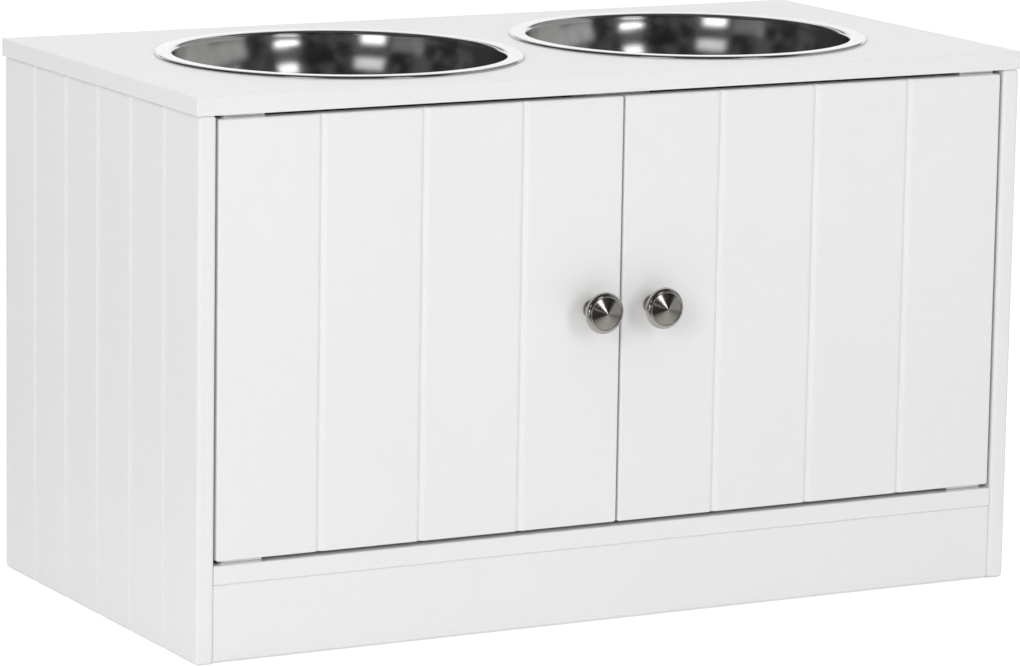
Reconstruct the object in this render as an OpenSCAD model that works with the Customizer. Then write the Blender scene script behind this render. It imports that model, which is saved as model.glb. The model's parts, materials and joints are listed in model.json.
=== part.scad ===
// Elevated dog feeder with storage. A white board cabinet on a plinth, with two inset doors on
// pivot hinges, carries two steel bowls that drop through its top panel and hang by their rims.
// X runs from left to right, Y from front to back and Z up. The origin lies on the floor, in the
// middle of the footprint, knobs included.

/* [Cabinet] */
// Width of the top panel
cabinet_w = 600; // [570:1:640]
// Depth of the top panel
cabinet_d = 305; // [295:1:340]
// Height of the top face above the floor
cabinet_h = 356; // [330:1:420]
// Thickness of the top, side, bottom and plinth boards
board_t = 12; // [12:0.5:15]
// Height of the bottom panel's underside above the floor
bottom_z = 50; // [40:1:70]
// Space between the plinth and the floor
plinth_lift = 1; // [0.5:0.5:3]
// How far the top stands out past the side panels and their back edges
top_overhang = 1.5; // [0.5:0.5:4]
// How far the top stands out past the front edges of the side panels
top_lip = 0.5; // [0:0.25:2]
// How far the bottom panel's front edge lies behind those of the sides
bottom_setback = 0.5; // [0:0.25:2]
// How far the plinth's face lies behind the front edges of the sides
plinth_setback = 1.5; // [0.5:0.5:6]
// Radius on the edges of the side panels
side_edge_r = 2.5; // [1:0.5:4]
// Radius on the edges of the top, bottom and plinth boards
board_edge_r = 1; // [0.5:0.25:2]
// Boards that the grooves mark on each side panel
side_strips = 6; // [3:1:8]

/* [Back panel] */
// Thickness of the hardboard back
back_t = 3; // [2.5:0.5:5]
// Distance from the sides' back edges to the back panel
back_inset = 6; // [4:0.5:10]
// Depth of the grooves that hold the back panel
back_groove = 4; // [3:0.5:6]
// Play of the back panel in its grooves, on each face and edge
back_play = 0.2; // [0.1:0.05:0.4]
// Distance of the outer back screws from the middle
back_screw_x = 200; // [120:5:240]

/* [Doors] */
// Thickness of the doors
door_t = 12; // [12:0.5:15]
// How far the door faces lie behind the front edges of the sides
door_setback = 1; // [0:0.25:2]
// Gap between a door and the side panel
door_side_gap = 2; // [2:0.25:3]
// Gap between the two doors
door_middle_gap = 1.5; // [1.5:0.25:3]
// Radius on the edges of the doors
door_edge_r = 1.5; // [1:0.25:2]
// Boards that the grooves mark on each door
door_strips = 4; // [2:1:6]
// Width of a groove at the surface, on doors and sides
groove_w = 5; // [2:0.5:6]
// Depth of a groove
groove_depth = 1.5; // [0.5:0.25:1.5]

/* [Pivot hinges] */
// Length of a hinge leaf
leaf_l = 28; // [27:0.5:36]
// Width of a hinge leaf
leaf_w = 9; // [8:0.5:10]
// Thickness of a hinge leaf
leaf_t = 1.2; // [1:0.1:2]
// Running gap between the two leaves of a hinge
leaf_gap = 0.3; // [0.2:0.05:0.6]
// Distance from the hinge axis to the door's edge
pivot_inset = 8; // [7:0.5:10]
// Radius of the hinge pins
pin_r = 1.5; // [1:0.1:2]
// Radial running clearance of a hinge pin in the door's leaf
pin_play = 0.05; // [0.02:0.01:0.1]
// Depth to which a hinge pin reaches into the door
pin_reach = 2; // [1:0.5:4]
// Distance from the hinge axis to the first screw, and from there to the second
leaf_screw_pitch = 9; // [8:0.5:10]

/* [Knobs] */
// Length of a knob, from the door to its tip
knob_l = 22; // [18:1:30]
// Radius of the rim of a knob
knob_rim_r = 13.5; // [12.5:0.5:17]
// Radius of the round line on the face of a knob, inside its rim
knob_ring_r = 10.5; // [8:0.5:10.5]
// Height of the shallow cone on the face of a knob
knob_cone_h = 2; // [1:0.5:4]
// Height of the rounded rim of a knob
knob_rim_h = 3; // [2:0.5:4]
// Radius of the foot of a knob
knob_foot_r = 6.2; // [5.5:0.1:8]
// Radius of the waist of a knob
knob_waist_r = 5; // [4.5:0.1:5.4]
// Distance from the middle of the cabinet to a knob's axis
knob_x = 22; // [20:1:40]
// Height of a knob's axis above the door's lower edge
knob_rise = 141; // [60:1:210]
// Core radius of the knob screws
knob_screw_r = 1.9; // [1.5:0.1:2.2]
// Depth to which a knob screw reaches into its knob
knob_screw_grip = 8; // [5:0.5:12]

/* [Bowls] */
// Distance from the middle of the cabinet to a bowl's axis
bowl_x = 130; // [124:1:140]
// Distance from the front edge of the top to a bowl's axis
bowl_back = 148; // [140:1:160]
// Inner radius of a bowl at its lip
bowl_lip_r = 108; // [95:1:112]
// Width of a bowl's rim, from the lip to the outer edge
bowl_rim_w = 11.5; // [10:0.5:14]
// Height of the rim above the top panel
bowl_rim_h = 2; // [1.5:0.25:3]
// Thickness of the steel
bowl_t = 0.8; // [0.6:0.1:1.2]
// Depth of a bowl, from its rim to its inside floor
bowl_depth = 70; // [60:1:90]
// Slope of a bowl's wall just under its lip, from upright, in degrees
bowl_lip_slope = 5; // [2:1:10]
// Radius of the long curve of a bowl's wall, seen from the side
bowl_wall_r = 95; // [60:1:105]
// Angle through which that curve turns, before the tighter one that runs into the floor
bowl_wall_turn = 27; // [10:1:29]
// Radius with which the rim turns down into the bowl
bowl_lip_curve = 6; // [4:0.5:8]
// Radial play of a bowl in its hole
bowl_play = 1.2; // [0.8:0.1:2.5]

/* [Magnetic catch] */
// Width of the catch body without its ears
catch_w = 42; // [40:1:52]
// Depth of the catch
catch_d = 15; // [13:0.5:18]
// Height of the catch
catch_h = 13; // [11:0.5:15]
// Length of each ear
catch_ear = 7; // [7:0.5:10]
// Thickness of the ears
catch_ear_t = 4; // [3:0.5:5]
// Distance from the middle of the cabinet to the middle of a magnet
magnet_x = 12.5; // [11.5:0.5:13]
// Width of a magnet and of its pole plates
magnet_w = 14; // [12:0.5:15]
// Depth of a magnet
magnet_d = 8; // [6:0.5:10]
// Height of a magnet
magnet_h = 4; // [3:0.5:5]
// Thickness of the pole plates and the strike plates
plate_t = 1; // [0.8:0.1:1.5]
// How far the pole plates stand out of the catch
pole_reach = 1; // [0.5:0.25:2]
// Gap between the pole plates and a closed door's strike plate
strike_gap = 0.3; // [0.2:0.05:0.6]
// Height of a strike plate
strike_h = 22; // [19:1:30]
// Distance from the door's upper edge to a strike plate
strike_drop = 1.5; // [0.5:0.5:3]

/* [Fasteners] */
// Radius of the dowels
dowel_r = 3; // [2.5:0.25:4]
// Length of the dowels
dowel_l = 25; // [20:1:35]
// Depth to which dowels and cam bolts sit in a board's face
face_hole = 8; // [6:0.5:9]
// Distance from a side's front and back edges to its dowels
dowel_inset = 32; // [28:1:45]
// Distance from a side's front and back edges to its cam fittings
cam_inset = 62; // [56:1:90]
// Distance from the middle to the dowels that stand in the plinth
plinth_dowel_x = 150; // [80:5:220]
// Radius of the cam locks
cam_r = 6; // [5:0.5:7.5]
// Depth of the cam locks
cam_h = 9.5; // [8.5:0.25:10]
// Distance from a board's edge to its cam locks
cam_reach = 24; // [20:1:34]
// Radius of a cam bolt's shank
cam_bolt_r = 2; // [1.5:0.25:2.5]
// Radius of a cam bolt's head
cam_bolt_head_r = 2.75; // [2.75:0.25:3.5]
// Core radius of the small countersunk screws
screw_r = 1.1; // [0.9:0.1:1.5]
// Head radius of the small countersunk screws
screw_head_r = 2.5; // [2.2:0.1:3]
// Grip of the small screws in a board
screw_grip = 9; // [6:0.5:10]
// Radial play of screws, dowels and cam fittings in their holes
fastener_play = 0.1; // [0.05:0.05:0.3]

/* [Hidden] */
$fn = 48;
round_fn = 128;      // circle segments of the bowls and of their holes
arc_steps = 8;       // straight steps in each bend of a turned or pressed section
over = 1;            // how far a cutting shape runs past the surface that it cuts

// Heights
side_h = cabinet_h - board_t;
floor_z = bottom_z + board_t;
// The two leaves and their running gap set the space above and below a door
hinge_space = 2 * leaf_t + leaf_gap;
door_z = floor_z + hinge_space;
door_h = side_h - floor_z - 2 * hinge_space;
knob_z = door_z + knob_rise;

// Depths, from the front to the back
top_front = (knob_l - top_lip - door_setback - cabinet_d) / 2;
side_front = top_front + top_lip;
side_back = top_front + cabinet_d - top_overhang;
side_d = side_back - side_front;
door_face = side_front + door_setback;
door_back = door_face + door_t;
pivot_y = door_face + door_t / 2;
plinth_face = side_front + plinth_setback;
plinth_mid = plinth_face + board_t / 2;
back_face = side_back - back_inset - back_t;
bottom_front = side_front + bottom_setback;
bottom_d = back_face - bottom_front;
bowl_y = top_front + bowl_back;

// Widths, from the middle outwards
side_x = cabinet_w / 2 - top_overhang;
inner_x = side_x - board_t;
side_mid_x = side_x - board_t / 2;
door_w = inner_x - door_side_gap - door_middle_gap / 2;
pivot_x = inner_x - door_side_gap - pivot_inset;

// Bowls
rim_r = bowl_lip_r + bowl_rim_w;
rim_edge_r = min(1.5, bowl_rim_h);
// Where the underside of the curved lip passes the face of the top panel
lip_pass_r = bowl_lip_r + bowl_lip_curve
    - sqrt(pow(bowl_lip_curve - bowl_t, 2) - pow(bowl_lip_curve - bowl_rim_h, 2));
bowl_hole_r = lip_pass_r + bowl_play;

// Magnetic catch
catch_front = door_back + plate_t + strike_gap + pole_reach;
pole_gap_z = magnet_h + plate_t;
catch_mid_z = side_h - catch_h / 2;
ear_x = catch_w / 2 + catch_ear / 2;
strike_z = door_z + door_h - strike_drop - strike_h;
strike_screw_edge = 3;    // from the head of a strike plate's screw to the plate's end
strike_screw_z = strike_z + screw_head_r + strike_screw_edge;

// Fasteners
knob_pan_r = 2 * knob_screw_r;
knob_pan_h = 2.2;
catch_head_h = 2;
slot_reach = 1.1;         // length of a cross slot, as a share of its head's radius
slot_sink = 0.6;          // depth of a cross slot, as a share of its head's height
tip_space = 0.5;          // space left under the tip of a screw or a pin
cam_floor_gap = 0.3;      // space left under a cam lock
cam_bolt_head_h = 2.5;
cam_bolt_collar_h = 3;
side_fitting_y = [side_front + cam_inset, side_back - cam_inset];
side_dowel_y = [side_front + dowel_inset, side_back - dowel_inset];
bottom_mid_z = bottom_z + board_t / 2;
plinth_mid_z = (plinth_lift + bottom_z) / 2;
back_screw_z = bottom_mid_z;

board_white = "#f1f1ee";
back_white = "#ececea";
steel = "#c9ccce";
nickel = "#b5b2ab";
zinc = "#d6d8d8";
beech = "#d9bd8c";
plastic_white = "#f6f6f4";
magnet_black = "#3a3a3c";

// ---------------------------------------------------------------- placing

// Everything that comes in pairs is drawn for the right side and mirrored for the left
module on_side(s) {
    mirror([s < 0 ? 1 : 0, 0, 0]) children();
}

// A hinge is drawn hanging from the top panel, and turned over for the bottom panel
module at_hinge(s, upper) {
    on_side(s)
        translate([pivot_x, pivot_y, upper ? side_h : floor_z])
            mirror([0, 0, upper ? 0 : 1])
                children();
}

module at_leaf_screws() {
    for (k = [1 : 2])
        translate([-k * leaf_screw_pitch, 0, 0]) children();
}

module at_knob(s) {
    on_side(s) translate([knob_x, door_face, knob_z]) rotate([90, 0, 0]) children();
}

module at_bowl(s) {
    on_side(s) translate([bowl_x, bowl_y, cabinet_h]) children();
}

// ---------------------------------------------------------------- shared shapes

// Rectangle from the origin with round corners
module rounded_rect(w, h, r) {
    translate([r, 0]) square([w - 2 * r, h]);
    translate([0, r]) square([w, h - 2 * r]);
    for (x = [r, w - r], y = [r, h - r])
        translate([x, y]) circle(r);
}

// Board from the origin with all its edges rounded
module eased_board(size, r) {
    intersection() {
        linear_extrude(size[2]) rounded_rect(size[0], size[1], r);
        translate([0, size[1], 0])
            rotate([90, 0, 0])
                linear_extrude(size[1]) rounded_rect(size[0], size[2], r);
        rotate([90, 0, 90])
            linear_extrude(size[0]) rounded_rect(size[1], size[2], r);
    }
}

// Upright cutter for a V groove in a face that looks along -Y
module groove_cut(h) {
    half_w = groove_w / 2 * (groove_depth + over) / groove_depth;
    translate([0, 0, -over])
        linear_extrude(h + 2 * over)
            polygon([[-half_w, -over], [half_w, -over], [0, groove_depth]]);
}

// Points along an arc, from one angle to another
function arc(centre, r, from, to) = [
    for (k = [0 : arc_steps])
        let (a = from + (to - from) * k / arc_steps)
            [centre[0] + r * cos(a), centre[1] + r * sin(a)]
];

// Countersunk screw hanging head up from the origin, with a cross slot
module csk_screw(head_h, length) {
    tip = 2 * screw_r;
    slot_w = 0.6;
    difference() {
        union() {
            translate([0, 0, -head_h]) cylinder(h = head_h, r1 = screw_r, r2 = screw_head_r);
            translate([0, 0, -length + tip]) cylinder(h = length - tip, r = screw_r);
            translate([0, 0, -length]) cylinder(h = tip, r1 = screw_r / 4, r2 = screw_r);
        }
        cross_slot(screw_head_r * slot_reach, slot_w, head_h * slot_sink);
    }
}

module cross_slot(length, w, depth) {
    for (a = [0, 90])
        rotate([0, 0, a])
            translate([-length / 2, -w / 2, -depth])
                cube([length, w, depth + over]);
}

// Countersunk hole that a screw drops into, through a plate
module csk_hole(head_h, depth) {
    slope = (screw_head_r - screw_r) / head_h;
    translate([0, 0, -head_h])
        cylinder(
            h = head_h + over,
            r1 = screw_r + fastener_play,
            r2 = screw_head_r + fastener_play + over * slope
        );
    translate([0, 0, -depth - over]) cylinder(h = depth + over, r = screw_r + fastener_play);
}

// Blind hole for the thread of a screw, going down from the origin
module pilot_hole(depth) {
    translate([0, 0, -depth]) cylinder(h = depth + over, r = screw_r + fastener_play);
}

// ---------------------------------------------------------------- carcass

module top_panel() {
    color(board_white)
    difference() {
        translate([-cabinet_w / 2, top_front, side_h])
            eased_board([cabinet_w, cabinet_d, board_t], board_edge_r);
        for (s = [-1, 1]) {
            at_bowl(s)
                translate([0, 0, -board_t - over])
                    cylinder(h = board_t + 2 * over, r = bowl_hole_r, $fn = round_fn);
            on_side(s) {
                for (y = side_dowel_y)
                    translate([side_mid_x, y, side_h - over])
                        cylinder(h = face_hole + over, r = dowel_r + fastener_play);
                for (y = side_fitting_y)
                    translate([side_mid_x, y, side_h - over])
                        cylinder(h = face_hole + over, r = cam_bolt_r + fastener_play);
                translate([ear_x, catch_front + catch_d / 2, side_h])
                    mirror([0, 0, 1]) pilot_hole(screw_grip);
            }
            at_hinge(s, true) at_leaf_screws() mirror([0, 0, 1]) pilot_hole(screw_grip);
        }
        // Groove for the back panel, between the side panels
        translate([-inner_x - back_groove, back_face - back_play, side_h - over])
            cube([
                2 * (inner_x + back_groove),
                back_t + 2 * back_play,
                back_groove + over
            ]);
    }
}

// Drawn for the right side, with its grooved face outwards
module side_panel() {
    difference() {
        translate([inner_x, side_front, 0])
            eased_board([board_t, side_d, side_h], side_edge_r);
        for (k = [1 : side_strips - 1])
            translate([side_x, side_front + k * side_d / side_strips, 0])
                rotate([0, 0, 90]) groove_cut(side_h);
        // Groove for the back panel
        translate([inner_x - over, back_face - back_play, bottom_z - back_play])
            cube([back_groove + over, back_t + 2 * back_play, side_h]);
        // Fittings in the upper edge, which carry the top
        for (y = side_dowel_y)
            translate([side_mid_x, y, side_h - (dowel_l - face_hole) - fastener_play])
                cylinder(h = dowel_l, r = dowel_r + fastener_play);
        for (y = side_fitting_y) {
            translate([side_mid_x, y, side_h - cam_reach])
                cylinder(h = cam_reach + over, r = cam_bolt_head_r + fastener_play);
            translate([inner_x - over, y, side_h - cam_reach])
                rotate([0, 90, 0])
                    cylinder(h = cam_h + over, r = cam_r + fastener_play);
        }
        // Fittings in the inner face, which carry the bottom panel and the plinth
        for (y = side_dowel_y)
            translate([inner_x - over, y, bottom_mid_z])
                rotate([0, 90, 0])
                    cylinder(h = face_hole + over, r = dowel_r + fastener_play);
        for (y = side_fitting_y)
            translate([inner_x - over, y, bottom_mid_z])
                rotate([0, 90, 0])
                    cylinder(h = face_hole + over, r = cam_bolt_r + fastener_play);
        translate([inner_x - over, plinth_mid, plinth_mid_z])
            rotate([0, 90, 0])
                cylinder(h = face_hole + over, r = dowel_r + fastener_play);
    }
}

module left_side_panel() {
    color(board_white) on_side(-1) side_panel();
}

module right_side_panel() {
    color(board_white) on_side(1) side_panel();
}

module bottom_panel() {
    color(board_white)
    difference() {
        translate([-inner_x, bottom_front, bottom_z])
            eased_board([2 * inner_x, bottom_d, board_t], board_edge_r);
        for (s = [-1, 1]) {
            on_side(s) {
                for (y = side_dowel_y)
                    translate([inner_x - (dowel_l - face_hole) - fastener_play, y, bottom_mid_z])
                        rotate([0, 90, 0])
                            cylinder(h = dowel_l, r = dowel_r + fastener_play);
                for (y = side_fitting_y) {
                    translate([inner_x - cam_reach, y, bottom_mid_z])
                        rotate([0, 90, 0])
                            cylinder(h = cam_reach + over, r = cam_bolt_head_r + fastener_play);
                    translate([inner_x - cam_reach, y, bottom_z - over])
                        cylinder(h = cam_h + over, r = cam_r + fastener_play);
                }
                translate([plinth_dowel_x, plinth_mid, bottom_z - over])
                    cylinder(h = face_hole + over, r = dowel_r + fastener_play);
            }
            at_hinge(s, false) at_leaf_screws() mirror([0, 0, 1]) pilot_hole(screw_grip);
        }
        for (x = [-back_screw_x, 0, back_screw_x])
            translate([x, back_face, back_screw_z])
                rotate([-90, 0, 0]) pilot_hole(screw_grip);
    }
}

module plinth() {
    color(board_white)
    difference() {
        translate([-inner_x, plinth_face, plinth_lift])
            eased_board([2 * inner_x, board_t, bottom_z - plinth_lift], board_edge_r);
        for (s = [-1, 1])
            on_side(s) {
                translate([
                    inner_x - (dowel_l - face_hole) - fastener_play,
                    plinth_mid,
                    plinth_mid_z
                ])
                    rotate([0, 90, 0])
                        cylinder(h = dowel_l, r = dowel_r + fastener_play);
                translate([
                    plinth_dowel_x,
                    plinth_mid,
                    bottom_z - (dowel_l - face_hole) - fastener_play
                ])
                    cylinder(h = dowel_l, r = dowel_r + fastener_play);
            }
    }
}

// Hardboard in the grooves of the sides and the top, screwed to the bottom panel's back edge
module back_panel() {
    reach = back_groove - back_play;
    color(back_white)
    difference() {
        translate([-inner_x - reach, back_face, bottom_z])
            cube([2 * (inner_x + reach), back_t, side_h - bottom_z + reach]);
        for (x = [-back_screw_x, 0, back_screw_x])
            translate([x, back_face + back_t, back_screw_z])
                rotate([-90, 0, 0]) csk_hole(back_t / 2, back_t);
    }
}

// ---------------------------------------------------------------- doors

// Drawn for the right side
module door() {
    difference() {
        translate([door_middle_gap / 2, door_face, door_z])
            eased_board([door_w, door_t, door_h], door_edge_r);
        for (k = [1 : door_strips - 1])
            translate([door_middle_gap / 2 + k * door_w / door_strips, door_face, door_z])
                groove_cut(door_h);
        // Screw and pin holes of the two hinges
        for (upper = [false, true])
            at_hinge(1, upper)
                translate([0, 0, -hinge_space]) {
                    at_leaf_screws() pilot_hole(screw_grip);
                    translate([0, 0, -pin_reach - tip_space])
                        cylinder(h = pin_reach + tip_space + over, r = pin_r + tip_space);
                }
        at_knob(1)
            translate([0, 0, -door_t - over])
                cylinder(h = door_t + 2 * over, r = knob_screw_r + fastener_play);
        translate([magnet_x, door_back, strike_screw_z])
            rotate([-90, 0, 0]) pilot_hole(screw_grip);
    }
}

module left_door() {
    color(board_white) on_side(-1) door();
}

module right_door() {
    color(board_white) on_side(1) door();
}

// Turned knob: a foot, a waist that flares out to a rounded rim, and a shallow conical face
// inside a fine round line
module knob() {
    foot_h = 1.5;
    foot_fillet = knob_foot_r - knob_waist_r;
    line_w = 0.3;
    bead_r = knob_rim_h / 2;
    line_z = knob_l - knob_cone_h;
    bead_z = line_z - bead_r;
    flare_z = foot_h + foot_fillet;
    flare = [knob_rim_r - bead_r - knob_waist_r, line_z - knob_rim_h - flare_z];
    difference() {
        rotate_extrude()
            polygon(concat(
                [[0, 0], [knob_foot_r, 0]],
                arc([knob_foot_r, flare_z], foot_fillet, -90, -180),
                [
                    for (k = [1 : arc_steps])
                        let (a = 90 * k / arc_steps)
                            [
                                knob_waist_r + flare[0] * (1 - cos(a)),
                                flare_z + flare[1] * sin(a)
                            ]
                ],
                arc([knob_rim_r - bead_r, bead_z], bead_r, -90, 90),
                [
                    [knob_ring_r + line_w, line_z - line_w / 2],
                    [knob_ring_r, line_z - line_w],
                    [knob_ring_r - line_w, line_z],
                    [0, knob_l]
                ]
            ));
        translate([0, 0, -over])
            cylinder(
                h = knob_screw_grip + tip_space + over,
                r = knob_screw_r + fastener_play
            );
    }
}

module left_knob() {
    color(nickel) at_knob(-1) knob();
}

module right_knob() {
    color(nickel) at_knob(1) knob();
}

// Pan-head screw from the inside of the door into the knob
module knob_screw() {
    slot_w = 0.9;
    head_round = 1;
    difference() {
        union() {
            translate([0, 0, -door_t - knob_pan_h])
                cylinder(h = knob_pan_h / 2, r1 = knob_pan_r - head_round, r2 = knob_pan_r);
            translate([0, 0, -door_t - knob_pan_h / 2])
                cylinder(h = knob_pan_h / 2, r = knob_pan_r);
            translate([0, 0, -door_t]) cylinder(h = door_t + knob_screw_grip, r = knob_screw_r);
        }
        translate([0, 0, -door_t - knob_pan_h])
            mirror([0, 0, 1])
                cross_slot(knob_pan_r * slot_reach, slot_w, knob_pan_h * slot_sink);
    }
}

module left_knob_screw() {
    color(zinc) at_knob(-1) knob_screw();
}

module right_knob_screw() {
    color(zinc) at_knob(1) knob_screw();
}

// ---------------------------------------------------------------- hinges

// Flat leaf with a round end about the pivot and two countersunk screw holes. Its top face is
// at the origin, and screws_down says which face the screw heads lie in.
module leaf(screws_down) {
    difference() {
        translate([0, 0, -leaf_t])
            linear_extrude(leaf_t) {
                circle(leaf_w / 2);
                translate([leaf_w / 2 - leaf_l, -leaf_w / 2])
                    square([leaf_l - leaf_w / 2, leaf_w]);
            }
        translate([0, 0, -leaf_t - over])
            cylinder(h = leaf_t + 2 * over, r = pin_r + pin_play);
        at_leaf_screws()
            if (screws_down)
                csk_hole(leaf_t, leaf_t);
            else
                translate([0, 0, -leaf_t]) mirror([0, 0, 1]) csk_hole(leaf_t, leaf_t);
    }
}

module cabinet_leaf(s, upper) {
    color(zinc) at_hinge(s, upper) leaf(false);
}

module door_leaf(s, upper) {
    color(zinc) at_hinge(s, upper) translate([0, 0, -leaf_t - leaf_gap]) leaf(true);
}

// Riveted into the cabinet's leaf, through the door's leaf and a little way into the door
module hinge_pin(s, upper) {
    color(zinc)
    at_hinge(s, upper)
        translate([0, 0, -hinge_space - pin_reach])
            cylinder(h = hinge_space + pin_reach, r = pin_r);
}

module cabinet_leaf_screws() {
    color(zinc)
    for (s = [-1, 1], upper = [false, true])
        at_hinge(s, upper)
            at_leaf_screws()
                translate([0, 0, -leaf_t])
                    mirror([0, 0, 1]) csk_screw(leaf_t, leaf_t + screw_grip - tip_space);
}

module door_leaf_screws(s) {
    color(zinc)
    for (upper = [false, true])
        at_hinge(s, upper)
            at_leaf_screws()
                translate([0, 0, -leaf_t - leaf_gap])
                    csk_screw(leaf_t, leaf_t + screw_grip - tip_space);
}

// ---------------------------------------------------------------- magnetic catch

module at_magnet(s) {
    on_side(s) translate([magnet_x, catch_front, catch_mid_z]) children();
}

// Plastic body with a bay for each magnet and an ear at each end
module catch_body() {
    bay_w = magnet_w + 2 * fastener_play;
    bay_h = magnet_h + 2 * plate_t + 2 * fastener_play;
    bay_d = magnet_d + fastener_play;
    color(plastic_white)
    difference() {
        union() {
            translate([-catch_w / 2, catch_front, side_h - catch_h])
                cube([catch_w, catch_d, catch_h]);
            translate([
                -catch_w / 2 - catch_ear,
                catch_front + (catch_d - catch_ear) / 2,
                side_h - catch_ear_t
            ])
                cube([catch_w + 2 * catch_ear, catch_ear, catch_ear_t]);
        }
        for (s = [-1, 1]) {
            at_magnet(s)
                translate([-bay_w / 2, -over, -bay_h / 2])
                    cube([bay_w, bay_d + over, bay_h]);
            on_side(s)
                translate([ear_x, catch_front + catch_d / 2, side_h - catch_ear_t])
                    mirror([0, 0, 1]) csk_hole(catch_head_h, catch_ear_t);
        }
    }
}

module magnet(s) {
    color(magnet_black)
    at_magnet(s)
        translate([-magnet_w / 2, 0, -magnet_h / 2])
            cube([magnet_w, magnet_d, magnet_h]);
}

// A steel plate above and below each magnet carries the pull out to the strike plate
module pole_plates() {
    color(steel)
    for (s = [-1, 1], up = [-1, 1])
        at_magnet(s)
            translate([-magnet_w / 2, -pole_reach, up * pole_gap_z / 2 - plate_t / 2])
                cube([magnet_w, magnet_d + pole_reach, plate_t]);
}

module catch_screws() {
    color(zinc)
    for (s = [-1, 1])
        on_side(s)
            translate([ear_x, catch_front + catch_d / 2, side_h - catch_ear_t])
                mirror([0, 0, 1])
                    csk_screw(catch_head_h, catch_ear_t + screw_grip - tip_space);
}

module strike_plate(s) {
    color(steel)
    on_side(s)
        difference() {
            translate([magnet_x - magnet_w / 2, door_back, strike_z])
                cube([magnet_w, plate_t, strike_h]);
            translate([magnet_x, door_back + plate_t, strike_screw_z])
                rotate([-90, 0, 0]) csk_hole(plate_t, plate_t);
        }
}

module strike_screw(s) {
    color(zinc)
    on_side(s)
        translate([magnet_x, door_back + plate_t, strike_screw_z])
            rotate([-90, 0, 0]) csk_screw(plate_t, plate_t + screw_grip - tip_space);
}

// ---------------------------------------------------------------- bowls

// Pressed steel bowl. Its lip curves over into a flat rim, which turns down onto the top panel. A
// long curve forms the wall, and a tighter one takes it over into the flat floor.
module bowl() {
    turned = bowl_lip_slope + bowl_wall_turn;
    lip_centre = [bowl_lip_r + bowl_lip_curve, bowl_rim_h - bowl_lip_curve];
    wall_centre = lip_centre
        - (bowl_lip_curve + bowl_wall_r) * [cos(bowl_lip_slope), -sin(bowl_lip_slope)];
    wall_end = wall_centre + bowl_wall_r * [cos(turned), -sin(turned)];
    floor_h = bowl_rim_h - bowl_depth;
    corner_r = (wall_end[1] - floor_h) / (1 - sin(turned));
    corner_centre = wall_end - corner_r * [cos(turned), -sin(turned)];
    edge_centre = [rim_r - rim_edge_r, bowl_rim_h - rim_edge_r];
    inside = concat(
        arc(edge_centre, rim_edge_r, 0, 90),
        arc(lip_centre, bowl_lip_curve, 90, 180 - bowl_lip_slope),
        arc(wall_centre, bowl_wall_r, -bowl_lip_slope, -turned),
        arc(corner_centre, corner_r, -turned, -90)
    );
    outside = concat(
        arc(corner_centre, corner_r + bowl_t, -90, -turned),
        arc(wall_centre, bowl_wall_r + bowl_t, -turned, -bowl_lip_slope),
        arc(lip_centre, bowl_lip_curve - bowl_t, 180 - bowl_lip_slope, 90),
        arc(edge_centre, rim_edge_r - bowl_t, 90, 0)
    );
    rotate_extrude($fn = round_fn)
        polygon(concat(
            [[rim_r, 0]],
            inside,
            [[0, floor_h], [0, floor_h - bowl_t]],
            outside,
            [[rim_r - bowl_t, 0]]
        ));
}

module left_bowl() {
    color(steel) at_bowl(-1) bowl();
}

module right_bowl() {
    color(steel) at_bowl(1) bowl();
}

// ---------------------------------------------------------------- hidden fittings

module dowel() {
    chamfer = 1;
    cylinder(h = chamfer, r1 = dowel_r - chamfer / 2, r2 = dowel_r);
    translate([0, 0, chamfer]) cylinder(h = dowel_l - 2 * chamfer, r = dowel_r);
    translate([0, 0, dowel_l - chamfer])
        cylinder(h = chamfer, r1 = dowel_r, r2 = dowel_r - chamfer / 2);
}

module dowels() {
    in_edge = dowel_l - face_hole;
    color(beech)
    for (s = [-1, 1])
        on_side(s) {
            for (y = side_dowel_y) {
                translate([side_mid_x, y, side_h - in_edge]) dowel();
                translate([inner_x - in_edge, y, bottom_mid_z]) rotate([0, 90, 0]) dowel();
            }
            translate([inner_x - in_edge, plinth_mid, plinth_mid_z]) rotate([0, 90, 0]) dowel();
            translate([plinth_dowel_x, plinth_mid, bottom_z - in_edge]) dowel();
        }
}

// Bolt along +Z from a board's edge at the origin: its thread sits in the other board's face,
// and its head lies in the cam
module cam_bolt() {
    translate([0, 0, -cam_reach - cam_bolt_head_h / 2])
        cylinder(h = cam_bolt_head_h, r = cam_bolt_head_r);
    translate([0, 0, -cam_reach]) cylinder(h = cam_reach + face_hole, r = cam_bolt_r);
    translate([0, 0, -cam_bolt_collar_h]) cylinder(h = cam_bolt_collar_h, r = cam_bolt_head_r);
}

// Cam from its visible face at the origin, going along +Z. The bolt comes in along +X.
module cam_lock() {
    neck = 2 * (cam_bolt_head_r + fastener_play);
    slot_w = 1.2;
    slot_depth = 1.5;
    difference() {
        cylinder(h = cam_h - cam_floor_gap, r = cam_r);
        translate([-neck / 2 - fastener_play, -neck / 2, board_t / 2 - neck / 2])
            cube([cam_r + neck, neck, neck]);
        mirror([0, 0, 1]) cross_slot(cam_r * slot_reach, slot_w, slot_depth);
    }
}

module cam_bolts() {
    color(zinc)
    for (s = [-1, 1])
        on_side(s)
            for (y = side_fitting_y) {
                translate([side_mid_x, y, side_h]) cam_bolt();
                translate([inner_x, y, bottom_mid_z]) rotate([0, 90, 0]) cam_bolt();
            }
}

module cam_locks() {
    color(zinc)
    for (s = [-1, 1])
        on_side(s)
            for (y = side_fitting_y) {
                translate([inner_x, y, side_h - cam_reach])
                    rotate([0, 90, 0]) rotate([0, 0, 180]) cam_lock();
                translate([inner_x - cam_reach, y, bottom_z]) cam_lock();
            }
}

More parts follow.
